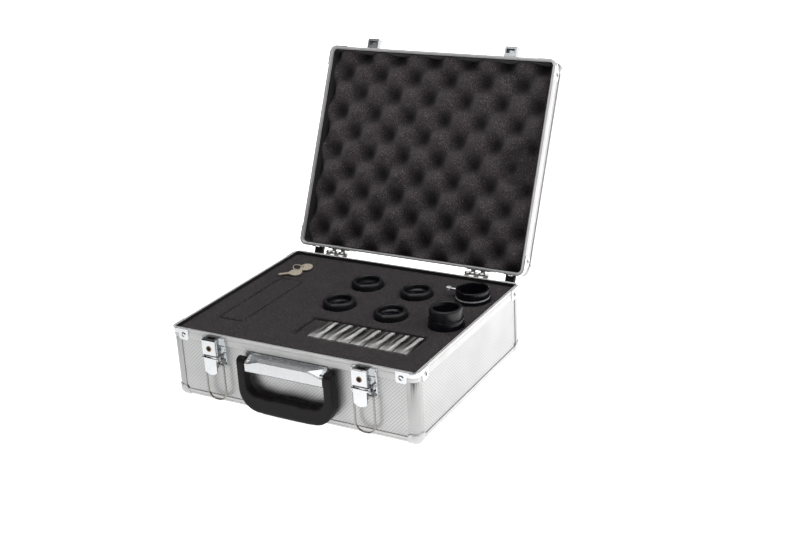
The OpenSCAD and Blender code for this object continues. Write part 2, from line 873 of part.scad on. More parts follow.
module low_eyecup(i) {
  color([0.04, 0.04, 0.04]) at_low(i) rotate_extrude() polygon([
    [14.9, -3.2], [18.2, -3.2], [18.2, 3.4], [17.9, 4.8], [17, 6], [15.8, 6.6], [14.6, 6.6],
    [13.7, 6], [13.3, 4.8], [13.5, 2.2], [14.9, 1.9]]);
}

// a plano-convex lens with its dome up
module lens(r, low, thick, ball) {
  rotate_extrude() intersection() {
    translate([0, low]) square([r, thick + 5]);
    translate([0, low + thick - ball]) circle(ball, $fn = 240);
  }
}

module low_lenses(i) {
  eye = eye_lens_radius[i];
  deep = eyepiece_deep[i];
  color([0.5, 0.6, 0.7, 0.4]) at_low(i) {
    lens(eye, -2.5, 2.6, 3 * eye);
    lens(12.3, -deep + 30, 3.5, 40);
  }
}

module eyepiece_1_housing() low_housing(0);
module eyepiece_1_eyecup() low_eyecup(0);
module eyepiece_1_lenses() low_lenses(0);
module eyepiece_2_housing() low_housing(1);
module eyepiece_2_eyecup() low_eyecup(1);
module eyepiece_2_lenses() low_lenses(1);
module eyepiece_3_housing() low_housing(2);
module eyepiece_3_eyecup() low_eyecup(2);
module eyepiece_3_lenses() low_lenses(2);
module eyepiece_4_housing() low_housing(3);
module eyepiece_4_eyecup() low_eyecup(3);
module eyepiece_4_lenses() low_lenses(3);

module at_tall() {
  translate([tall_at[0], tall_at[1], foam_top]) children();
}

module tall_eyepiece_housing() {
  color([0.07, 0.07, 0.08]) at_tall() rotate_extrude() polygon([
    [14, -64], [barrel_radius - 0.5, -64], [barrel_radius, -63.5], [barrel_radius, -44],
    [barrel_radius - 0.6, -43], [barrel_radius - 0.6, -40], [barrel_radius, -39], [barrel_radius, -36],
    [18.4, -36], [19, -35.4], [19, 7], [18.4, 8.2], [16.8, 8.6], [16.8, 9.6], [15.2, 9.6], [15.2, 17],
    [14.6, 17.6], [12.4, 8], [11.2, 7.4], [11.2, 3.4], [10.2, 3.4], [10.2, 1], [12.5, -4], [12.5, -36],
    [14, -38]]);
}

module tall_eyepiece_eyecup() {
  color([0.04, 0.04, 0.04]) at_tall() rotate_extrude() polygon([
    [15.3, 9.9], [17.4, 9.9], [17.8, 10.4], [17.8, 18], [17.4, 19.4], [16.4, 20.2], [14.8, 20.2],
    [13.8, 19.4], [13.4, 18.2], [15.3, 17.6]]);
}

module tall_eyepiece_lenses() {
  color([0.5, 0.6, 0.7, 0.4]) at_tall() {
    lens(11, 3.6, 3.4, 26);
    lens(12.3, -30, 4, 40);
  }
}

module at_barlow() {
  translate([barlow_at[0], barlow_at[1], foam_top]) children();
}

module barlow_body() {
  color([0.06, 0.06, 0.07]) at_barlow() difference() {
    rotate_extrude() polygon([
      [13.4, -60], [barrel_radius - 0.5, -60], [barrel_radius, -59.5], [barrel_radius, -40],
      [barrel_radius - 0.6, -39], [barrel_radius - 0.6, -36], [barrel_radius, -35], [barrel_radius, -25],
      [18.2, -25], [18.8, -24.4], [18.8, 2.6], [18, 3], [18, 4.4], [18.8, 4.8], [18.8, 12.2], [18, 13],
      [16.5, 13], [15.95, 12.4], [15.95, -16], [13, -16], [13, -50], [12, -50], [12, -51.2],
      [13.4, -51.2]]);
    translate([-25, 0, 8.4]) rotate([0, 90, 0]) cylinder(h = 12, r = 1.5 + run);
  }
}

module barlow_ring() {
  color([0.85, 0.85, 0.85]) at_barlow() ring_solid(18.9, 18.05, 3.1, 4.3);
}

module barlow_lens() {
  color([0.5, 0.6, 0.7, 0.4]) at_barlow() rotate_extrude() intersection() {
    translate([0, -57]) square([13.2, 5.6]);
    translate([0, -54.2 + 38]) circle(40.6, $fn = 240);
    translate([0, -54.2 - 38]) circle(40.6, $fn = 240);
  }
}

module barlow_thumbscrew() {
  color([0.85, 0.85, 0.85]) at_barlow() translate([0, 0, 8.4]) rotate([0, -90, 0]) difference() {
    union() {
      translate([0, 0, 16.4]) cylinder(h = 10, r = 1.5);
      translate([0, 0, 26]) cylinder(h = 5, r = 2.7);
    }
    for (a = [0:30:330]) rotate([0, 0, a]) translate([2.8, 0, 25]) cylinder(h = 7, r = 0.35, $fn = 16);
    translate([0, 0, 30.4]) cylinder(h = 2, r = 1.4);
  }
}

module at_filter(i) {
  translate([pocket_corner[0] + 25.8 + i * filter_pitch, pocket_corner[1] + 2 + filter_size / 2,
             foam_top - 0.7 - filter_size / 2]) children();
}

// two facing trays, with a round seat for the filter in one of them
module filter_case_halves() {
  t = filter_thick;
  s = filter_size;
  half = t / 2 - 0.06;
  for (m = [0, 1]) mirror([m, 0, 0]) difference() {
    translate([-t / 2, -s / 2, -s / 2]) cube([half, s, s]);
    translate([-t / 2 + 1.3, -s / 2 + 1.4, -s / 2 + 1.4]) cube([t, s - 2.8, s - 2.8]);
  }
  translate([-t / 2 + 1.2, 0, 0]) rotate([0, 90, 0]) difference() {
    cylinder(h = 4.8, r = 15.8);
    translate([0, 0, -1]) cylinder(h = 8, r = 14.6);
  }
}

module filter_cases() {
  color([0.9, 0.9, 0.9, 0.35]) for (i = [0:filter_count - 1]) at_filter(i) filter_case_halves();
}

module filter_rings() {
  color([0.1, 0.1, 0.1]) for (i = [0:filter_count - 1]) at_filter(i)
    translate([-filter_thick / 2 + 1.4, 0, 0]) rotate([0, 90, 0]) difference() {
      union() {
        cylinder(h = 6, r = 14.3);
        translate([0, 0, 6]) cylinder(h = 2.6, r = 13.9);
      }
      translate([0, 0, -1]) cylinder(h = 12, r = 12);
      translate([0, 0, 2]) cylinder(h = 2.1, r = 13);
    }
}

module filter_glasses() {
  color([0.6, 0.2, 0.2, 0.5]) for (i = [0:filter_count - 1]) at_filter(i)
    translate([-filter_thick / 2 + 3.5, 0, 0]) rotate([0, 90, 0]) cylinder(h = 1.9, r = 12.9);
}

// a round bow with a hole in it, then a short blade
module key_outline(hole) {
  difference() {
    union() {
      scale([7.5, 7]) circle(1, $fn = 96);
      polygon([[2, -6.5], [5.5, -4.4], [9, -1.7], [9, 1.7], [5.5, 4.4], [2, 6.5]]);
      polygon([[8, -1.7], [19, -1.6], [20.8, -0.4], [20.8, 0.4], [19, 1.6], [8, 1.7]]);
    }
    translate(hole) circle(1.9);
    for (x = [12, 15]) translate([x, 2]) circle(0.8);
  }
}

// two keys that share a ring
module keys_on_ring() {
  color([0.75, 0.68, 0.58]) translate([0, 0, foam_top]) {
    translate([-108.9, 60.6, 1.8]) rotate([-10, 2.5, 214]) linear_extrude(1.3) key_outline([-1.6, -4.9]);
    translate([-104.9, 77.8, 2.5]) rotate([-8, 6, 250]) linear_extrude(1.3) key_outline([3.2, -3.9]);
    translate([-112, 70.7, 4.2]) rotate([0, 20, 0]) rotate_extrude() translate([6.2, 0]) circle(0.5);
  }
}

base_wall_panels();
base_bottom_panel();
base_corner_posts();
base_bottom_rails();
base_rim();
base_rim_corners();
base_ball_corners();
base_feet();
base_foam();
base_rivets();
hinge_base_leaves();
fixed_pins();
handle_bracket();
latch_plates();
lock_bodies();
handle_grip();
left_lock_cylinder();
right_lock_cylinder();
left_latch_lever();
right_latch_lever();
left_bail();
right_bail();
lid_top_panel();
lid_wall_panels();
lid_corner_posts();
lid_top_rails();
lid_rim();
lid_rim_corners();
lid_ball_corners();
lid_feet();
lid_foam();
lid_lining();
lid_catches();
lid_rivets();
hinge_lid_leaves();
foam_plug();
foam_filler();
eyepiece_1_housing();
eyepiece_1_eyecup();
eyepiece_1_lenses();
eyepiece_2_housing();
eyepiece_2_eyecup();
eyepiece_2_lenses();
eyepiece_3_housing();
eyepiece_3_eyecup();
eyepiece_3_lenses();
eyepiece_4_housing();
eyepiece_4_eyecup();
eyepiece_4_lenses();
tall_eyepiece_housing();
tall_eyepiece_eyecup();
tall_eyepiece_lenses();
barlow_body();
barlow_ring();
barlow_lens();
barlow_thumbscrew();
filter_cases();
filter_rings();
filter_glasses();
keys_on_ring();
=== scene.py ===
"""Looks of a hard aluminium carry case that holds telescope eyepieces, a Barlow adapter and boxed filters.

Metres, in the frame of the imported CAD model: the case stands on z = 0, X to the right, Y to the back.
"""

import json
import math

import bmesh
import bpy
import numpy as np
from mathutils import Matrix, Vector, noise

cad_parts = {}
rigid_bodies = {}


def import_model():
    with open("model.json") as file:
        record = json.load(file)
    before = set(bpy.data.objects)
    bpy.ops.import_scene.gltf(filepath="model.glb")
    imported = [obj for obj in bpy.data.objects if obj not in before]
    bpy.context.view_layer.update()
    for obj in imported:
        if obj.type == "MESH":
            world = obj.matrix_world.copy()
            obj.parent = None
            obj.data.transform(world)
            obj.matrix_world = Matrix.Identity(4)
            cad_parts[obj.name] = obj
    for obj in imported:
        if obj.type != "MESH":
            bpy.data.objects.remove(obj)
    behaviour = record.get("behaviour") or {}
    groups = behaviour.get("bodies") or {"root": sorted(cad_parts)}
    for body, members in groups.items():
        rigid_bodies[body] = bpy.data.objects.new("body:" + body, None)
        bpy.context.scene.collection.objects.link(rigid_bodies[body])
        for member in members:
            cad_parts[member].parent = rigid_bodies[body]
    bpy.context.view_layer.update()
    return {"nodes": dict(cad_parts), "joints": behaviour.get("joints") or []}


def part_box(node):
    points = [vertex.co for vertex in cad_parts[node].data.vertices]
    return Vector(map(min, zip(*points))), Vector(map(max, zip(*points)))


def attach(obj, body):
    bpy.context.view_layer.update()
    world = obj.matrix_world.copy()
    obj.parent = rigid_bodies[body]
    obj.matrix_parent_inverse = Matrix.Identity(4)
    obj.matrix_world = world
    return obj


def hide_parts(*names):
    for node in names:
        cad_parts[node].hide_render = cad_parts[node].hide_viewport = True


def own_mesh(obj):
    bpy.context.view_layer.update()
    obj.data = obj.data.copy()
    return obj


for leftover in list(bpy.data.objects):
    bpy.data.objects.remove(leftover)
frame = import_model()
NODES = frame["nodes"]
MM = 0.001

# strength of the sky, watts of the three softboxes, and the floor's own glow before and behind the case
SKY = 0.6
KEY = 5
TOP = 14
FRONT = 5
GLOW_FRONT, GLOW_BACK = 0.62, 1.6

# the camera's place, its turn, its slope down and its roll in degrees, and its lens in millimetres
EYE = (0.6689, -1.0557, 0.6087)
EYE_TURN, EYE_DOWN, EYE_ROLL = 29.727, 21.33, -3.0455
LENS = 55.978

# the lid foam: half waves across and down, a peak and a pit that fix them, least thickness and mesh step
HALF_WAVE_X, HALF_WAVE_Y = 23.5 * MM, 24.25 * MM
PEAK_X, PIT_Y = 13 * MM, -94 * MM
LEAST_FOAM = 3 * MM
FOAM_STEP = 1.9 * MM

# where the tall eyepiece presses into the lid foam: a flat past the eyecup, a slope, and the gap over it
PRESS_FLAT, PRESS_SLOPE, PRESS_GAP = 3 * MM, 8 * MM, 1 * MM

# length of the chromed push-fit barrel of each eyepiece, and of the adapter
BARRELS = {
    "eyepiece_1": 28 * MM, "eyepiece_2": 24 * MM, "eyepiece_3": 22 * MM, "eyepiece_4": 18 * MM,
    "tall_eyepiece": 28 * MM,
}
ADAPTER_BARREL = 35 * MM
FILTER_BOXES = 7

HINGE = next(joint for joint in frame["joints"] if joint["name"] == "lid_hinge")
HINGE_LINE = Vector(HINGE["pos_m"])
LID_OPEN = math.radians(-HINGE["range_deg"][0])


# ---- camera, lights and floor ----


def camera():
    """The camera stands in front of the case, to the right of its middle, and looks down on it."""
    turn, down, roll = (math.radians(angle) for angle in (EYE_TURN, EYE_DOWN, EYE_ROLL))
    ahead = Vector((-math.sin(turn) * math.cos(down), math.cos(turn) * math.cos(down), -math.sin(down)))
    right = Vector((math.cos(turn), math.sin(turn), 0))
    above = right.cross(ahead)
    side = math.cos(roll) * right + math.sin(roll) * above
    top = -math.sin(roll) * right + math.cos(roll) * above
    data = bpy.data.cameras.new("camera")
    data.lens = LENS
    data.sensor_width = 36.0
    eye = bpy.data.objects.new("camera", data)
    bpy.context.scene.collection.objects.link(eye)
    eye.matrix_world = Matrix.Translation(EYE) @ Matrix((side, top, -ahead)).transposed().to_4x4()
    bpy.context.scene.camera = eye


def softbox(name, place, aim, size, power):
    """One square area light of a size in metres, aimed at a point."""
    data = bpy.data.lights.new(name, "AREA")
    data.size = size
    data.energy = power
    lamp = bpy.data.objects.new(name, data)
    bpy.context.scene.collection.objects.link(lamp)
    lamp.location = place
    lamp.rotation_euler = (Vector(aim) - Vector(place)).to_track_quat("-Z", "Y").to_euler()


def sky():
    """A pale studio: white overhead, to the right and behind, darker towards the front and left."""
    world = bpy.data.worlds.new("studio")
    world.use_nodes = True
    bpy.context.scene.world = world
    bpy.context.scene.view_settings.view_transform = "Standard"
    nodes, links = world.node_tree.nodes, world.node_tree.links
    place = nodes.new("ShaderNodeTexCoord")
    tilt = nodes.new("ShaderNodeVectorMath")
    tilt.operation = "DOT_PRODUCT"
    tilt.inputs[1].default_value = (0.45, 0.25, 0.6)
    ramp = nodes.new("ShaderNodeValToRGB")
    stops = ((0.0, 0.03), (0.2, 0.22), (0.42, 0.8), (0.6, 1.0))
    while len(ramp.color_ramp.elements) < len(stops):
        ramp.color_ramp.elements.new(0.5)
    for element, (position, level) in zip(ramp.color_ramp.elements, stops):
        element.position = position
        element.color = (level, level, level, 1)
    links.new(place.outputs["Generated"], tilt.inputs[0])
    links.new(tilt.outputs["Value"], ramp.inputs["Fac"])
    links.new(ramp.outputs["Color"], nodes["Background"].inputs["Color"])
    nodes["Background"].inputs["Strength"].default_value = SKY


def studio():
    """The sky, three softboxes, and a wide pale floor that glows more towards the back."""
    sky()
    softbox("key_light", place=(1.5, 0.3, 1.2), aim=(0, 0, 0.1), size=1.2, power=KEY)
    softbox("top_light", place=(-0.2, 0.1, 1.9), aim=(0, 0, 0), size=1.6, power=TOP)
    softbox("front_light", place=(-0.7, -1.5, 1.8), aim=(0, 0.1, 0.2), size=0.9, power=FRONT)
    mesh = bpy.data.meshes.new("floor")
    disc = bmesh.new()
    bmesh.ops.create_circle(disc, cap_ends=True, segments=96, radius=9.0)
    disc.to_mesh(mesh)
    disc.free()
    floor = bpy.data.objects.new("floor", mesh)
    bpy.context.scene.collection.objects.link(floor)
    paint = Look("studio_floor", {"Roughness": 0.9, "Specular IOR Level": 0.1, "Emission Strength": 1.0})
    grain = paint.noise(4, detail=2)
    paint.colour(paint.ramp(grain, ((0.3, (0.9, 0.9, 0.9)), (0.7, (0.93, 0.93, 0.93)))))
    x, y, _ = paint.split(paint.place)
    back = paint.math("ADD", paint.math("MULTIPLY", x, 0.5), paint.math("MULTIPLY", y, 0.86))
    glow = paint.ramp(paint.span(back, -0.35, 0.35), ((0.0, grey(GLOW_FRONT)), (1.0, grey(GLOW_BACK))))
    paint.links.new(glow, paint.shader.inputs["Emission Color"])
    mesh.materials.append(paint.material)


# ---- materials ----


class Look:
    """A Principled material whose colour, roughness and relief come from procedural nodes."""

    def __init__(self, name, settings):
        self.material = bpy.data.materials.new(name)
        self.material.use_nodes = True
        self.nodes = self.material.node_tree.nodes
        self.links = self.material.node_tree.links
        self.shader = self.nodes["Principled BSDF"]
        for socket, value in settings.items():
            self.shader.inputs[socket].default_value = value
        self.place = self.nodes.new("ShaderNodeTexCoord").outputs["Object"]

    def feed(self, socket, value):
        """Links an output to a socket, or sets the socket to a plain value."""
        if isinstance(value, bpy.types.NodeSocket):
            self.links.new(value, socket)
        else:
            socket.default_value = value

    def turned(self, degrees):
        """The place, turned about X, so that a pattern lies straight on the open lid."""
        node = self.nodes.new("ShaderNodeMapping")
        node.inputs["Rotation"].default_value = (math.radians(degrees), 0, 0)
        self.links.new(self.place, node.inputs["Vector"])
        return node.outputs["Vector"]

    def stretched(self, factors):
        """The place with each axis scaled; a factor below 1 draws a pattern out along that axis."""
        node = self.nodes.new("ShaderNodeVectorMath")
        node.operation = "MULTIPLY"
        self.feed(node.inputs[0], self.place)
        node.inputs[1].default_value = factors
        return node.outputs["Vector"]

    def split(self, vector):
        """The x, y and z of a vector."""
        node = self.nodes.new("ShaderNodeSeparateXYZ")
        self.links.new(vector, node.inputs["Vector"])
        return node.outputs

    def noise(self, scale, detail=2.0, place=None):
        node = self.nodes.new("ShaderNodeTexNoise")
        self.feed(node.inputs["Vector"], place or self.place)
        node.inputs["Scale"].default_value = scale
        node.inputs["Detail"].default_value = detail
        return node.outputs["Fac"]

    def cells(self, scale):
        """Distance within Voronoi cells, scale cells to the metre."""
        node = self.nodes.new("ShaderNodeTexVoronoi")
        self.feed(node.inputs["Vector"], self.place)
        node.inputs["Scale"].default_value = scale
        return node.outputs["Distance"]

    def math(self, operation, first, second=0.0):
        """One step of arithmetic on outputs or plain numbers."""
        node = self.nodes.new("ShaderNodeMath")
        node.operation = operation
        self.feed(node.inputs[0], first)
        self.feed(node.inputs[1], second)
        return node.outputs["Value"]

    def ramp(self, value, stops):
        """A colour ramp of (position, colour) stops."""
        node = self.nodes.new("ShaderNodeValToRGB")
        elements = node.color_ramp.elements
        while len(elements) < len(stops):
            elements.new(0.5)
        for element, (position, colour) in zip(elements, stops):
            element.position = position
            element.color = (*colour, 1)
        self.links.new(value, node.inputs["Fac"])
        return node.outputs["Color"]

    def span(self, value, low, high, start=0.0, end=1.0):
        """Carries a value from low..high to start..end, with its ends held."""
        node = self.nodes.new("ShaderNodeMapRange")
        for socket, number in zip(("From Min", "From Max", "To Min", "To Max"), (low, high, start, end)):
            node.inputs[socket].default_value = number
        self.feed(node.inputs["Value"], value)
        return node.outputs["Result"]

    def mix(self, share, first, second):
        """Goes from the first colour to the second as share goes from 0 to 1."""
        node = self.nodes.new("ShaderNodeMix")
        node.data_type = "RGBA"
        self.feed(node.inputs["Factor"], share)
        for socket, value in ((node.inputs["A"], first), (node.inputs["B"], second)):
            self.feed(socket, value if isinstance(value, bpy.types.NodeSocket) else (*value, 1))
        return node.outputs["Result"]

    def colour(self, value):
        self.links.new(value, self.shader.inputs["Base Color"])

    def roughness(self, value):
        self.links.new(value, self.shader.inputs["Roughness"])

    def relief(self, height, depth, strength=1.0):
        """Bumps of a depth in metres."""
        node = self.nodes.new("ShaderNodeBump")
        node.inputs["Strength"].default_value = strength
        node.inputs["Distance"].default_value = depth
        self.links.new(height, node.inputs["Height"])
        self.links.new(node.outputs["Normal"], self.shader.inputs["Normal"])


def grey(level, warm=0.0):
    """A grey, made warmer by a small positive share and cooler by a negative one."""
    return (level * (1 + warm), level, level * (1 - warm))


def mauve(level):
    """The purplish brown of black foam and black plastic in daylight."""
    return (level * 1.12, level * 0.96, level * 1.01)


def wall_panel(name, turn, flat=False):
    """Thin aluminium sheet, rolled with rows of small diamonds."""
    look = Look(name, {"Metallic": 1.0})
    x, y, z = look.split(look.turned(turn))
    pitch = 2.0 * MM
    across = x if flat else look.math("ADD", x, y)
    along = y if flat else z
    first = look.math("PINGPONG", look.math("ADD", across, along), pitch)
    second = look.math("PINGPONG", look.math("SUBTRACT", across, along), pitch)
    diamond = look.math("DIVIDE", look.math("ADD", first, second), 2 * pitch)
    haze = look.noise(30, 3)
    base = look.ramp(diamond, ((0.15, grey(0.31)), (0.5, grey(0.42)), (0.85, grey(0.50))))
    look.colour(look.mix(look.span(haze, 0.3, 0.7, 0.0, 0.12), base, grey(0.36)))
    look.roughness(look.span(haze, 0.3, 0.7, 0.36, 0.46))
    look.relief(diamond, 0.1 * MM, 0.4)
    return look.material


def satin_aluminium(name, metal, level, rough, top=None):
    """Extruded aluminium with a bead-blasted, clear anodised face; less metal gives a milkier face.

    Where top is given, faces that look straight up are painted lighter, to that level, as painted light from
    above, and the strip of the base's rim that lies inside its groove is painted near-black as painted
    shadow.
    """
    look = Look(name, {"Metallic": metal})
    grain = look.noise(2600, 2)
    haze = look.noise(45, 3)
    shade = look.ramp(haze, ((0.3, grey(level * 0.86, 0.004)), (0.7, grey(level, 0.004))))
    if top:
        # painted light: faces that look straight up are painted lighter, standing in for light from above
        upward = look.split(look.nodes.new("ShaderNodeNewGeometry").outputs["Normal"])[2]
        shade = look.mix(look.span(upward, 0.6, 0.9), shade, grey(top))
        # painted shadow: the strip of the base's rim inside its groove is painted near-black
        groove = 2.85 * MM
        _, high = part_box("base_rim")
        x, y, z = look.split(look.place)
        inner_x = look.math("SUBTRACT", high.x - groove, look.math("ABSOLUTE", x))
        inner_y = look.math("SUBTRACT", high.y - groove, look.math("ABSOLUTE", y))
        of_base = look.math("LESS_THAN", z, high.z + 1 * MM)
        painted_groove_shadow = look.span(look.math("MINIMUM", inner_x, inner_y), -0.05 * MM, 0.05 * MM)
        shade = look.mix(look.math("MULTIPLY", painted_groove_shadow, of_base), shade, grey(0.03))
    look.colour(shade)
    look.roughness(look.span(haze, 0.3, 0.7, rough, rough + 0.09))
    look.relief(grain, 0.03 * MM, 0.5)
    return look.material


def chrome(name, level=0.62, rough=0.09, cast=-0.02, metal=1.0, wave=0.35):
    """Chromed steel pressings, faintly wavy, with light smudges."""
    look = Look(name, {"Metallic": metal})
    smudge = look.noise(160, 4)
    look.colour(look.ramp(smudge, ((0.3, grey(level * 0.93, cast)), (0.7, grey(level, cast)))))
    look.roughness(look.span(smudge, 0.35, 0.7, rough, rough + 0.09))
    look.relief(look.noise(220, 1), 0.12 * MM, wave)
    return look.material


def rivet_steel():
    """Bright hollow rivets; what lies deeper than the faces of the base is painted near-black as painted
    shade, and rougher.
    """
    look = Look("rivet_steel", {"Metallic": 1.0})
    _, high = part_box("base_wall_panels")
    x, y, z = look.split(look.place)
    beyond_x = look.math("SUBTRACT", look.math("ABSOLUTE", x), high.x)
    beyond_y = look.math("SUBTRACT", look.math("ABSOLUTE", y), high.y)
    out = look.math("MAXIMUM", beyond_x, beyond_y)
    of_base = look.math("LESS_THAN", z, high.z)
    # painted shade: rivet parts that lie deeper than the base's faces are painted near-black
    sunk_painted_shade = look.math("MULTIPLY", look.span(out, 0.3 * MM, 0.6 * MM, 1.0, 0.0), of_base)
    smudge = look.noise(160, 4)
    shade = look.ramp(smudge, ((0.3, grey(0.5)), (0.7, grey(0.6))))
    look.colour(look.mix(sunk_painted_shade, shade, grey(0.012)))
    polish = look.span(smudge, 0.35, 0.7, 0.14, 0.22)
    look.roughness(look.math("ADD", polish, look.math("MULTIPLY", sunk_painted_shade, 0.6)))
    look.relief(look.noise(220, 1), 0.1 * MM, 0.3)
    return look.material


def brushed_steel(name, level, rough):
    """Bare steel, brushed along X."""
    look = Look(name, {"Metallic": 1.0})
    lines = look.noise(900, 2, look.stretched((0.12, 1, 1)))
    look.colour(look.ramp(lines, ((0.3, grey(level * 0.86, 0.01)), (0.7, grey(level, 0.01)))))
    look.roughness(look.span(lines, 0.3, 0.7, rough, rough + 0.12))
    look.relief(lines, 0.03 * MM, 0.4)
    return look.material


def moulded_plastic(name, level, rough):
    """Black plastic from a finely sparked mould."""
    look = Look(name, {"Specular IOR Level": 0.12})
    grain = look.noise(1500, 3)
    wear = look.noise(60, 4)
    look.colour(look.ramp(wear, ((0.35, mauve(level * 0.85)), (0.7, mauve(level * 1.2)))))
    look.roughness(look.span(wear, 0.3, 0.7, rough - 0.05, rough + 0.08))
    look.relief(grain, 0.08 * MM, 0.6)
    return look.material


def foam(name, dark, pale, hollows=None):
    """Open-cell polyurethane: small pits, with pale struts that catch the light.

    For the open lid, hollows gives the lid's angle and the depths between which the foam is painted darker
    towards its pits, as painted shade.
    """
    shadow = 0.12
    look = Look(name, {"Roughness": 1.0, "Specular IOR Level": 0.15, "Sheen Weight": 0.08})
    pits = look.cells(760)
    crumb = look.noise(1100, 3)
    patch = look.noise(38, 3)
    speck = look.math("MULTIPLY", look.span(crumb, 0.50, 0.72), look.span(pits, 0.15, 0.6))
    base = look.mix(look.span(patch, 0.3, 0.7), mauve(dark), mauve(dark * 1.35))
    shade = look.mix(speck, base, mauve(pale))
    if hollows:
        # painted shade: the lid foam is painted darker the deeper it lies in its pits
        depth = look.split(look.turned(hollows[0]))[2]
        shade = look.mix(look.span(depth, hollows[1], hollows[2], 0.0, 0.75), shade, mauve(dark * shadow))
    look.colour(shade)
    look.relief(look.math("ADD", look.math("MULTIPLY", pits, -1.0), crumb), 0.9 * MM, 0.8)
    return look.material


def lining():
    """Thin black flocked board."""
    look = Look("lining", {"Roughness": 0.95, "Sheen Weight": 0.15, "Specular IOR Level": 0.2})
    fibre = look.noise(2200, 3)
    look.colour(look.ramp(fibre, ((0.3, grey(0.010)), (0.7, grey(0.022)))))
    look.relief(fibre, 0.1 * MM, 0.6)
    return look.material


def rubber():
    """Dull black rubber with a faint bloom."""
    look = Look("eyecup_rubber", {"Specular IOR Level": 0.3, "Coat Weight": 0.3, "Coat Roughness": 0.14})
    bloom = look.noise(110, 4)
    look.colour(look.ramp(bloom, ((0.35, (0.005, 0.005, 0.007)), (0.7, (0.011, 0.010, 0.013)))))
    look.roughness(look.span(bloom, 0.3, 0.7, 0.42, 0.6))
    look.relief(look.noise(1800, 2), 0.05 * MM, 0.5)
    return look.material


def anodised(name, chromed_below):
    """Black anodised aluminium; the push-fit barrel below a height is chromed brass."""
    look = Look(name, {"Specular IOR Level": 0.3})
    height = look.split(look.place)[2]
    body = look.span(height, chromed_below - 0.02 * MM, chromed_below + 0.02 * MM)
    haze = look.noise(90, 3)
    black = look.ramp(haze, ((0.3, (0.004, 0.004, 0.006)), (0.7, (0.008, 0.008, 0.011))))
    look.colour(look.mix(body, grey(0.82), black))
    look.links.new(look.span(body, 0, 1, 1.0, 0.0), look.shader.inputs["Metallic"])
    polish = look.span(haze, 0.3, 0.7, 0.1, 0.14)
    look.roughness(look.math("ADD", polish, look.math("MULTIPLY", body, 0.08)))
    look.relief(look.noise(1600, 2), 0.03 * MM, 0.4)
    return look.material


def coated_glass():
    """Coated eye lenses: nearly black, with a faint green and violet cast at a slant."""
    look = Look(
        "coated_glass", {"Roughness": 0.03, "Transmission Weight": 0.75, "IOR": 1.5, "Coat Weight": 1.0}
    )
    slant = look.nodes.new("ShaderNodeLayerWeight").outputs["Facing"]
    green, violet, rose = (0.05, 0.09, 0.07), (0.05, 0.04, 0.09), (0.10, 0.06, 0.10)
    look.colour(look.ramp(slant, ((0.0, green), (0.5, violet), (1.0, rose))))
    look.relief(look.noise(400, 1), 0.01 * MM, 0.2)
    return look.material


def clear_plastic(low, high, count):
    """Clear boxes in a row: mostly see-through and dark, with a painted white glare down the right of each
    lid.
    """
    look = Look("clear_plastic", {"IOR": 1.49, "Transmission Weight": 0.3, "Specular IOR Level": 0.6})
    x, y, _ = look.split(look.place)
    gap = 2.5 * MM
    pitch = (high.x - low.x + gap) / count
    # within runs from 0 at the left of each box to 1 at its right, and back from 0 at the front to 1
    across = look.math("MULTIPLY", look.math("SUBTRACT", x, low.x), 1 / pitch)
    within = look.math("FRACT", across)
    back = look.span(y, low.y, high.y)
    # painted highlights: a wide painted glare that leans back to the right, a thinner one on its left, and a
    # pale painted front edge
    wander = look.span(look.noise(40, 1), 0.3, 0.7, -0.08, 0.08)
    middle = look.math("ADD", look.span(back, 0, 1, 0.50, 0.72), wander)
    off = look.math("SUBTRACT", within, middle)
    painted_glare = look.span(look.math("ABSOLUTE", off), 0.10, 0.20, 1.0, 0.0)
    second = look.span(look.math("ABSOLUTE", look.math("ADD", off, 0.40)), 0.04, 0.14, 0.5, 0.0)
    front = look.span(back, 0.05, 0.6, 0.85, 0.05)
    haze = look.noise(260, 3, look.stretched((1, 0.25, 1)))
    # the painted glares and the painted front edge make up the painted highlight mask of the boxes' colour
    bright = look.math("MAXIMUM", look.math("MAXIMUM", painted_glare, second), front)
    bright = look.math("MULTIPLY", bright, look.span(haze, 0.3, 0.65, 0.7, 1.0))
    look.colour(look.ramp(bright, ((0.0, grey(0.015)), (0.45, grey(0.22, 0.02)), (1.0, grey(0.95, 0.01)))))
    look.roughness(look.span(haze, 0.45, 0.75, 0.15, 0.4))
    look.relief(haze, 0.06 * MM, 0.4)
    return look.material


def filter_glass(low, high):
    """Seven colour filters, from yellow over red to blue, told apart by their place along the row."""
    look = Look("filter_glass", {"Roughness": 0.05, "Transmission Weight": 0.8, "IOR": 1.5})
    along = look.span(look.split(look.place)[0], low, high)
    tints = ((0.75, 0.62, 0.10), (0.80, 0.35, 0.05), (0.62, 0.07, 0.05), (0.10, 0.42, 0.16),
             (0.08, 0.24, 0.55), (0.32, 0.12, 0.42), (0.25, 0.27, 0.26))
    stops = [(index / len(tints), tint) for index, tint in enumerate(tints)]
    tint = look.ramp(along, stops)
    tint.node.color_ramp.interpolation = "CONSTANT"
    look.colour(tint)
    look.relief(look.noise(500, 1), 0.01 * MM, 0.2)
    return look.material


def warm_metal(name, colour, rough):
    """Nickel plate, dulled by handling marks."""
    look = Look(name, {"Metallic": 0.6})
    marks = look.noise(350, 4)
    look.colour(look.mix(look.span(marks, 0.35, 0.75), colour, tuple(0.72 * part for part in colour)))
    look.roughness(look.span(marks, 0.3, 0.7, rough, rough + 0.15))
    look.relief(marks, 0.06 * MM, 0.4)
    return look.material


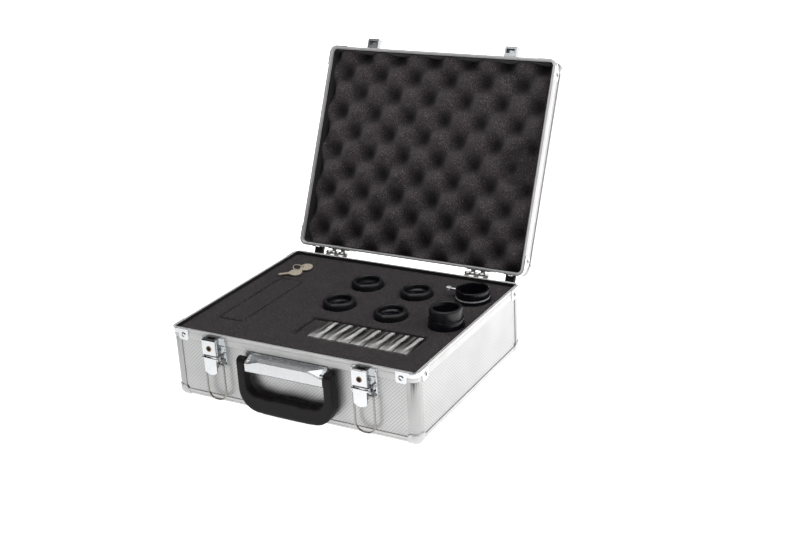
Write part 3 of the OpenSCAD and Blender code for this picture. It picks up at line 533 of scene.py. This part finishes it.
def lock_face(side):
    """A lock cylinder: its worn brass edge is round a keyhole disc painted near-black as painted shade."""
    look = Look(f"{side}_lock_brass", {"Metallic": 0.7})
    axis = next(joint for joint in frame["joints"] if joint["name"] == f"{side}_lock_turn")["pos_m"]
    x, _, z = look.split(look.place)
    across = look.math("SUBTRACT", x, axis[0])
    up = look.math("SUBTRACT", z, axis[2])
    squares = look.math("ADD", look.math("MULTIPLY", across, across), look.math("MULTIPLY", up, up))
    radius = look.math("POWER", squares, 0.5)
    marks = look.noise(900, 2)
    edge = look.math("ADD", radius, look.span(marks, 0.3, 0.7, -0.4 * MM, 0.4 * MM))
    # painted shade: a near-black disc round the keyhole stands in for the shade inside it
    keyhole_shade, brass = (0.010, 0.008, 0.006), (0.30, 0.20, 0.10)
    look.colour(look.mix(look.span(edge, 2.2 * MM, 2.9 * MM), keyhole_shade, brass))
    look.roughness(look.span(marks, 0.3, 0.7, 0.3, 0.5))
    look.relief(marks, 0.05 * MM, 0.4)
    return look.material


# ---- shared mesh helpers ----


def new_piece(name, mesh, look, body):
    """An object that shows a mesh in one look, rides on a body and has one material slot."""
    piece = bpy.data.objects.new(name, mesh)
    bpy.context.scene.collection.objects.link(piece)
    mesh.materials.clear()
    mesh.materials.append(look)
    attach(piece, body)
    return piece


def apply_modifiers(piece):
    """Turns the shown shape of a piece into its mesh."""
    shown = piece.evaluated_get(bpy.context.evaluated_depsgraph_get())
    mesh = bpy.data.meshes.new_from_object(shown)
    piece.modifiers.clear()
    piece.data = mesh


def turned_at_hinge(points, angle):
    """Turns points about the lid's hinge line."""
    turn = Matrix.Translation(HINGE_LINE) @ Matrix.Rotation(angle, 4, "X") @ Matrix.Translation(-HINGE_LINE)
    return [turn @ Vector(point) for point in points]


def lid_opened(points):
    """Turns points of the closed lid to where the open lid has them."""
    return turned_at_hinge(points, -LID_OPEN)


def lid_closed(points):
    """Turns points of the open lid to where the closed lid has them."""
    return turned_at_hinge(points, LID_OPEN)


def voxel_rounded(piece, voxel, factor, iterations):
    """Remeshes a piece in small cubes of a size and smooths it, so that its edges are round."""
    remesh = piece.modifiers.new("voxels", "REMESH")
    remesh.mode = "VOXEL"
    remesh.voxel_size = voxel
    soften = piece.modifiers.new("soften", "SMOOTH")
    soften.factor = factor
    soften.iterations = iterations
    bpy.context.view_layer.update()
    apply_modifiers(piece)


# ---- soft pieces ----


def lid_foam_depths():
    """Depths in the closed lid between which the foam goes from peak to pit, for the painted shade of its
    pits.
    """
    turn = Matrix.Rotation(LID_OPEN, 3, "X")
    depths = [(turn @ vertex.co).z for vertex in NODES["lid_foam"].data.vertices]
    low, high = min(depths), max(depths)
    return low + 0.35 * (high - low), low + 0.85 * (high - low)


def close_sheet(shape, face, back, rows, columns):
    """Joins a grid of face points, and closes it to the back points that lie behind its border."""
    width = columns + 1
    for row in range(rows):
        for column in range(columns):
            corner = row * width + column
            quad = (corner, corner + width, corner + width + 1, corner + 1)
            shape.faces.new([face[index] for index in quad])
    border = list(range(width))
    border += [row * width + columns for row in range(1, rows + 1)]
    border += [rows * width + column for column in range(columns - 1, -1, -1)]
    border += [row * width for row in range(rows - 1, 0, -1)]
    for start, end in zip(border, border[1:] + border[:1]):
        shape.faces.new((face[start], face[end], back[end], back[start]))
    shape.faces.new([back[index] for index in border])
    bmesh.ops.recalc_face_normals(shape, faces=shape.faces)


def egg_crate(look):
    """The lid foam: a sheet of rounded peaks and pits on one wave across and one wave down.

    It is shaped in the closed lid, where the tall eyepiece has pressed a dent into it, and then turned open.
    """
    old = lid_closed([vertex.co for vertex in NODES["lid_foam"].data.vertices])
    low = Vector([min(point[axis] for point in old) for axis in range(3)])
    high = Vector([max(point[axis] for point in old) for axis in range(3)])
    swing = (high.z - low.z - LEAST_FOAM) / 2
    middle = low.z + swing
    cup_low, cup_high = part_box("tall_eyepiece_eyecup")
    cup_middle = (cup_low + cup_high) / 2
    cup_radius = (cup_high.x - cup_low.x) / 2
    columns = int((high.x - low.x) / FOAM_STEP)
    rows = int((high.y - low.y) / FOAM_STEP)
    shape = bmesh.new()
    face, back = [], []
    for row in range(rows + 1):
        y = low.y + (high.y - low.y) * row / rows
        for column in range(columns + 1):
            x = low.x + (high.x - low.x) * column / columns
            wave_x = math.cos(math.pi * (x - PEAK_X) / HALF_WAVE_X)
            wave = wave_x * math.cos(math.pi * (y - PIT_Y) / HALF_WAVE_Y)
            skin = 0.25 * MM * noise.noise(Vector((x, y, 3)) * 400)
            uneven = 0.7 * MM * noise.noise(Vector((x, y, 0)) * 30)
            edge = min(x - low.x, high.x - x, y - low.y, high.y - y)
            ease = 0.4 * MM * max(0, 1 - edge / (2 * MM))
            z = max(low.z, middle + swing * wave + skin + uneven + ease)
            away = math.hypot(x - cup_middle.x, y - cup_middle.y) - cup_radius - PRESS_FLAT
            pressed = min(1, max(0, 1 - away / PRESS_SLOPE))
            z += max(0, cup_high.z + PRESS_GAP - z) * pressed
            face.append(shape.verts.new((x, y, z)))
            on_edge = row in (0, rows) or column in (0, columns)
            back.append(shape.verts.new((x, y, high.z)) if on_edge else None)
    close_sheet(shape, face, back, rows, columns)
    opened = lid_opened([vertex.co for vertex in shape.verts])
    for vertex, point in zip(shape.verts, opened):
        vertex.co = point
    mesh = bpy.data.meshes.new("egg_crate_foam")
    shape.to_mesh(mesh)
    shape.free()
    mesh.shade_smooth()
    mesh.set_sharp_from_angle(angle=math.radians(50))
    piece = new_piece("egg_crate_foam", mesh, look, "lid")
    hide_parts("lid_foam")
    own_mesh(piece)


def cut_foam(name, node, body, look, voxel, seed):
    """A block of foam, cut with a knife: soft edges and a slightly uneven skin."""
    piece = new_piece(name, NODES[node].data.copy(), look, body)
    voxel_rounded(piece, voxel, factor=0.5, iterations=2)
    mesh = piece.data
    points = np.empty(len(mesh.vertices) * 3)
    normals = np.empty(len(mesh.vertices) * 3)
    mesh.vertices.foreach_get("co", points)
    mesh.vertices.foreach_get("normal", normals)
    points, normals = points.reshape(-1, 3), normals.reshape(-1, 3)
    offset = Vector((seed, 0, 0))
    skin = np.array([noise.noise(Vector(point) * 350 + offset) for point in points])
    uneven = np.array([noise.noise(Vector(point) * 45 + offset) for point in points])
    push = 0.15 * MM * skin + 0.25 * MM * uneven - 0.2 * MM
    points = points + normals * push[:, None]
    mesh.vertices.foreach_set("co", points.ravel())
    mesh.shade_smooth()
    mesh.materials.clear()
    mesh.materials.append(look)
    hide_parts(node)


def rounded_grip(look):
    """The grip is a moulding, so all of its edges are well rounded."""
    piece = new_piece("moulded_grip", NODES["handle_grip"].data.copy(), look, "handle")
    voxel_rounded(piece, 0.9 * MM, factor=0.6, iterations=9)
    piece.data.shade_smooth()
    piece.data.materials.clear()
    piece.data.materials.append(look)
    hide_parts("handle_grip")


# ---- finishes of the CAD pieces ----


def finish_node(name, look, edge=0.0, segments=2):
    """Gives a CAD node its material and, where edge is set, a small rounded edge."""
    node = NODES[name]
    for slot in node.material_slots:
        slot.material = look
    if edge:
        weld = node.modifiers.new("weld", "WELD")
        weld.merge_threshold = 0.01 * MM
        bevel = node.modifiers.new("edge", "BEVEL")
        bevel.width = edge
        bevel.segments = segments
        bevel.limit_method = "ANGLE"
        bevel.angle_limit = math.radians(38)
        bevel.harden_normals = True


def finish_metalwork(bright):
    """The frame, panels, hinges, latches and handle of the case; bright is the look of plated fittings."""
    rail = satin_aluminium("rail_aluminium", metal=0.5, level=0.56, rough=0.3)
    post = satin_aluminium("post_aluminium", metal=1.0, level=0.35, rough=0.2)
    # the rim's upward faces are painted lighter as painted light, and its groove strip near-black as painted
    # shadow
    rim = satin_aluminium("rim_aluminium", metal=0.15, level=0.62, rough=0.35, top=0.97)
    wire = chrome("bright_wire", level=0.26, rough=0.2, cast=0.05)
    rivet = rivet_steel()
    hinge = brushed_steel("hinge_steel", level=0.55, rough=0.22)
    plastic = moulded_plastic("black_plastic", level=0.009, rough=0.42)

    for part in ("base", "lid"):
        turn = 0 if part == "base" else math.degrees(LID_OPEN)
        finish_node(f"{part}_wall_panels", wall_panel(f"{part}_wall_panel", turn))
        finish_node(f"{part}_corner_posts", post, 0.3 * MM)
        finish_node(f"{part}_rim", rim, 0.35 * MM)
        finish_node(f"{part}_rim_corners", bright, 0.25 * MM)
        finish_node(f"{part}_ball_corners", rail, 0.3 * MM)
        finish_node(f"{part}_feet", plastic, 0.8 * MM, 3)
        finish_node(f"{part}_rivets", rivet)
    finish_node("base_bottom_rails", rail, 0.25 * MM)
    finish_node("lid_top_rails", rail, 0.25 * MM)
    finish_node("base_bottom_panel", wall_panel("bottom_panel", 0, flat=True))
    finish_node("lid_top_panel", wall_panel("top_panel", math.degrees(LID_OPEN), flat=True))
    finish_node("lid_lining", lining())
    for name in ("hinge_base_leaves", "hinge_lid_leaves", "fixed_pins"):
        finish_node(name, hinge, 0.15 * MM)
    for name in ("latch_plates", "lock_bodies", "left_latch_lever", "right_latch_lever"):
        finish_node(name, bright, 0.3 * MM)
    dull = chrome("dull_chrome", level=0.4, rough=0.2)
    satin = chrome("satin_chrome", level=0.6, rough=0.2, metal=0.7, wave=0.06)
    finish_node("lid_catches", dull, 0.3 * MM)
    finish_node("handle_bracket", satin, 0.3 * MM)
    for side in ("left", "right"):
        finish_node(f"{side}_bail", wire)
        finish_node(f"{side}_lock_cylinder", lock_face(side), 0.15 * MM)
    rounded_grip(plastic)


def finish_foams():
    """The lid's egg-crate sheet and the three cut blocks of the base."""
    soft = foam("foam", dark=0.019, pale=0.18)
    hollows = (math.degrees(LID_OPEN), *lid_foam_depths())
    egg_crate(foam("lid_foam", dark=0.040, pale=0.25, hollows=hollows))
    cut_foam("foam_insert", "base_foam", "case", soft, voxel=2.0 * MM, seed=1)
    cut_foam("foam_knockout", "foam_plug", "plug", soft, voxel=1.6 * MM, seed=2)
    cut_foam("foam_block", "foam_filler", "filler", soft, voxel=1.6 * MM, seed=3)


def finish_contents(bright):
    """The eyepieces, the adapter with its thumbscrew, the boxed filters and the keys."""
    eyecup = rubber()
    glass = coated_glass()
    for name, barrel in BARRELS.items():
        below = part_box(f"{name}_housing")[0].z + barrel
        finish_node(f"{name}_housing", anodised(f"{name}_black", below), 0.15 * MM)
        finish_node(f"{name}_eyecup", eyecup)
        finish_node(f"{name}_lenses", glass)
    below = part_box("barlow_body")[0].z + ADAPTER_BARREL
    finish_node("barlow_body", anodised("barlow_black", below), 0.15 * MM)
    finish_node("barlow_ring", chrome("bright_ring", level=0.92, rough=0.2, cast=0.0, metal=0.3))
    finish_node("barlow_lens", glass)
    finish_node("barlow_thumbscrew", bright)
    low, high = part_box("filter_cases")
    finish_node("filter_cases", clear_plastic(low, high, FILTER_BOXES), 0.4 * MM)
    finish_node("filter_rings", moulded_plastic("filter_metal", level=0.02, rough=0.3))
    low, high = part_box("filter_glasses")
    finish_node("filter_glasses", filter_glass(low.x, high.x))
    nickel = warm_metal("key_metal", colour=(0.70, 0.63, 0.50), rough=0.26)
    finish_node("keys_on_ring", nickel, 0.15 * MM)


def main():
    camera()
    studio()
    bright = chrome("chromed_fittings")
    finish_metalwork(bright)
    finish_foams()
    finish_contents(bright)


main()
